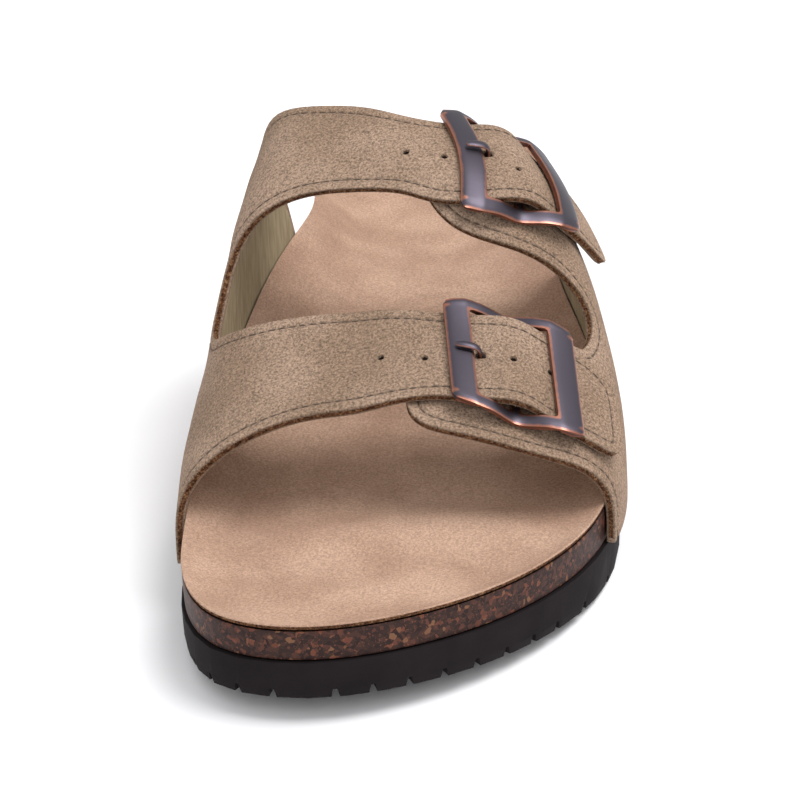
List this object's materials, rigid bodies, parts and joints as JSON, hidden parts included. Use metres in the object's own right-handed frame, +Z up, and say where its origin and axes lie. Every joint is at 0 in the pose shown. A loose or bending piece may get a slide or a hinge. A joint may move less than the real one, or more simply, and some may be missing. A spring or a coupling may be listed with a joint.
{
  "type": "sandal",
  "caption": "Two-strap cork footbed sandal for the left foot, suede upper with metal buckles, contoured bed and ribbed foam sole, open toe and heel",
  "frame": {"origin": "middle of the sandal's bounding box at the floor", "axes": "+Y from toe to heel, +X to the lateral side, +Z up; stands on its sole"},
  "size_m": [0.1126, 0.2808, 0.0942],
  "materials": {
    "outsole_foam": "moulded closed-cell foam, matt near-black brown",
    "cork": "ground cork bound with latex, sanded and sealed to a satin",
    "insole_suede": "suede lining, napped, pinkish tan",
    "upper_suede": "taupe suede with raw cut edges and a stitched line",
    "buckle_metal": "cast metal, antique copper plate rubbed bright on its edges"
  },
  "bodies": {
    "root": {"outsole": "outsole_foam", "cork_footbed": "cork", "suede_insole": "insole_suede", "upper_medial": "upper_suede", "upper_lateral": "upper_suede", "buckle_frame_rear": "buckle_metal", "buckle_frame_front": "buckle_metal", "buckle_prong_rear": "buckle_metal", "buckle_prong_front": "buckle_metal"}
  },
  "joints": []
}
